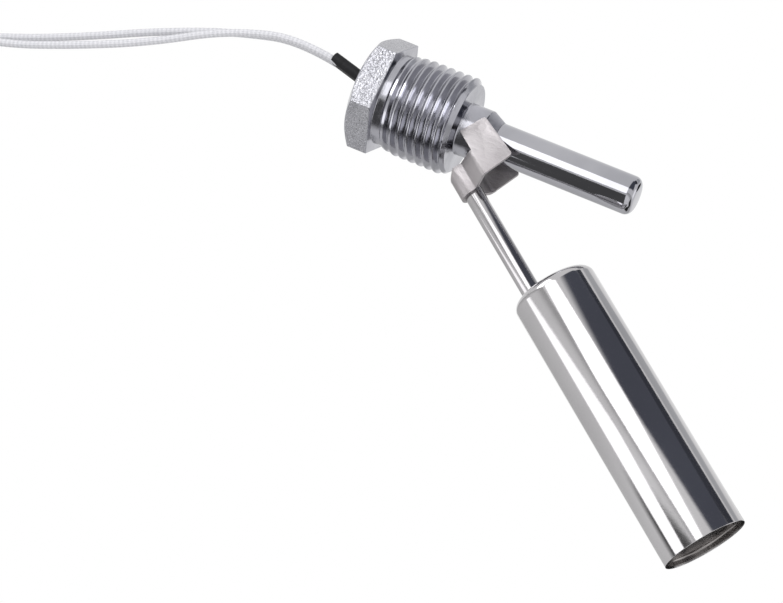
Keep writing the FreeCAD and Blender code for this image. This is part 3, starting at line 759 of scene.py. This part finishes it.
def make_reed_tube():
    material = steel("tube_polish", (0.37, 0.37, 0.40), (0.44, 0.44, 0.47), (0.03, 0.10),
                     (0.15, 1, 1), 1500, 0.05, 90)
    tube = rounded([(CONE_END, TUBE_BORE), (CONE_END, TUBE_RADIUS), (TUBE_END, TUBE_RADIUS),
                    (TUBE_END, 0.0), (TUBE_FLOOR, 0.0), (TUBE_FLOOR, TUBE_BORE)],
                   {1: 0.12, 2: 1.8}, 10)
    add_object("reed_tube_shell", lathe("reed_tube_shell", tube, 128), material, "switch",
               ["reed_tube"])


def make_rod():
    material = steel("rod_polish", (0.41, 0.40, 0.41), (0.50, 0.49, 0.50), (0.07, 0.16),
                     (0.08, 1, 1), 1400, 0.06, 60)
    rod = rounded([(ROD_START, 0.0), (ROD_START, ROD_RADIUS), (ROD_END, ROD_RADIUS),
                   (ROD_END, 0.0)], {1: 0.3, 2: 0.3}, 4)
    on_rod = ON_ARM @ Matrix.Translation((0, 0, -ROD_OFF * MM))
    add_object("float_rod", place(lathe("float_rod", rod, 64, closed=False), on_rod), material,
               "float_arm", ["arm_rod"])


def make_float():
    """The drawn shell, and the dished cap in its open end."""
    shell_steel = steel("float_polish", (0.47, 0.46, 0.47), (0.54, 0.53, 0.54), (0.05, 0.12),
                        (0.04, 1, 1), 1300, 0.035, 40)
    shell = rounded([(0.0, 0.0), (0.0, FLOAT_RADIUS), (FLOAT_LENGTH, FLOAT_RADIUS),
                     (FLOAT_LENGTH, FLOAT_INNER), (FLOAT_WALL, FLOAT_INNER), (FLOAT_WALL, 0.0)],
                    {1: 2.0, 2: 0.12, 3: 0.12, 4: 1.6}, 10)
    add_object("float_can", place(lathe("float_can", shell, 160, closed=False), ON_FLOAT),
               shell_steel, "float_arm", ["float_shell"])
    # the cap's steel is painted darker and browner than the shell's: painted shade and dark
    # reflection in the recessed dish
    cap_steel_painted_shade = steel("cap_polish_painted_shade", (0.22, 0.205, 0.20), (0.29, 0.275, 0.27), (0.16, 0.28),
                      (1, 1, 1), 900, 0.08, 70)
    cap = rounded([(CAP_BACK, 0.0), (CAP_BACK, CAP_RADIUS), (CAP_END, CAP_RADIUS),
                   (CAP_END, CAP_INNER), (CAP_FACE, CAP_INNER), (CAP_FACE, 0.0)],
                  {1: 0.9, 2: 0.12, 3: 0.12, 4: 0.5}, 8)
    add_object("float_end_cap", place(lathe("float_end_cap", cap, 128, closed=False), ON_FLOAT),
               cap_steel_painted_shade, "float_arm", ["float_cap"])


make_reed_tube()
make_rod()
make_float()


# ---------------------------------------------------------------- nodes that keep their own shape
def dress(names, material):
    for name in names:
        obj = nodes[name]
        obj.data.materials.clear()
        obj.data.materials.append(material)


def plain_material(name, dark, light, rough, scale=500, bump=0.2, metal=0.0, **sockets):
    m = Nodes(name)
    m.set(Metallic=metal, **sockets)
    cloud = m.noise(m.coords(), scale, 4)
    roughness = m.ramp(cloud, 0.3, 0.7, rough[0], rough[1])
    return m.finish(m.shades(cloud, dark, light), roughness, m.bump(cloud, bump, 0.0001))


YOKE_EDGE = 0.2             # the radius to which tumbling breaks the yoke's edges
YOKE_BEND = math.radians(35)


def make_yoke(material):
    """The folded sheet with its cut edges and corners broken by tumbling."""
    source = nodes["yoke"]
    bm = bmesh.new()
    bm.from_mesh(source.data)
    bmesh.ops.transform(bm, matrix=source.matrix_world, verts=bm.verts)
    bmesh.ops.remove_doubles(bm, verts=bm.verts, dist=1e-6)
    bmesh.ops.dissolve_limit(bm, angle_limit=math.radians(1), verts=bm.verts, edges=bm.edges)
    edges = [e for e in bm.edges if len(e.link_faces) == 2 and e.calc_face_angle(0) > YOKE_BEND]
    bmesh.ops.bevel(bm, geom=edges, offset=YOKE_EDGE * MM, segments=3, profile=0.5,
                    affect="EDGES", clamp_overlap=True)
    bmesh.ops.triangulate(bm, faces=bm.faces)
    add_object("pressed_yoke", finish_mesh(bm, "pressed_yoke", 40), material, "float_arm", ["yoke"])


def dress_arm():
    satin = steel("satin_sheet", (0.35, 0.33, 0.34), (0.42, 0.40, 0.41), (0.36, 0.52),
                  (0.3, 1, 1), 1500, 0.8, 200)
    dress(["pivot_pin_front", "pivot_pin_rear"], satin)
    make_yoke(satin)
    dress(["magnet_cup"], steel("cup_steel", (0.5, 0.5, 0.5), (0.58, 0.58, 0.58), (0.3, 0.4)))
    dress(["float_magnet"],
          plain_material("magnet_sinter", (0.10, 0.10, 0.11), (0.16, 0.16, 0.17), (0.4, 0.6),
                         metal=0.6))


def dress_reed_switch():
    dress(["reed_glass"],
          plain_material("reed_glass_clear", (0.70, 0.82, 0.76), (0.78, 0.88, 0.83), (0.02, 0.05),
                         300, 0.02, Transmission_Weight=0.9, IOR=1.5))
    dress(["reed_blade_near", "reed_blade_far"],
          plain_material("reed_plate", (0.52, 0.52, 0.50), (0.62, 0.62, 0.60), (0.2, 0.3),
                         900, 0.05, 1.0))
    dress(["inner_wire_near", "inner_wire_far"],
          plain_material("wire_cover_white", (0.78, 0.78, 0.76), (0.86, 0.86, 0.84), (0.4, 0.5)))
    dress(["solder_near", "solder_far"],
          plain_material("solder_dull", (0.55, 0.55, 0.56), (0.66, 0.66, 0.67), (0.25, 0.4),
                         700, 0.3, 1.0))
    dress(["reed_wrap"],
          plain_material("wrap_film", (0.62, 0.64, 0.66), (0.72, 0.74, 0.76), (0.25, 0.4)))


def dress_lead_ends():
    dress(["potting_resin"],
          plain_material("resin_cast", (0.025, 0.025, 0.03), (0.05, 0.05, 0.055), (0.2, 0.35),
                         400, 0.3))
    dress(["coil_tie"],
          plain_material("tie_nylon", (0.80, 0.80, 0.78), (0.88, 0.88, 0.86), (0.35, 0.5)))
    dress(["lead_tip_a", "lead_tip_b"],
          plain_material("tinned_strands", (0.60, 0.60, 0.60), (0.74, 0.74, 0.74), (0.2, 0.35),
                         1500, 0.5, 1.0))
    dress(["lead_sleeve"],
          plain_material("shrink_black", (0.008, 0.008, 0.009), (0.018, 0.018, 0.02), (0.5, 0.65),
                         700, 0.5, Specular_IOR_Level=0.15))


dress_arm()
dress_reed_switch()
dress_lead_ends()

bpy.context.scene.view_settings.view_transform = "Standard"
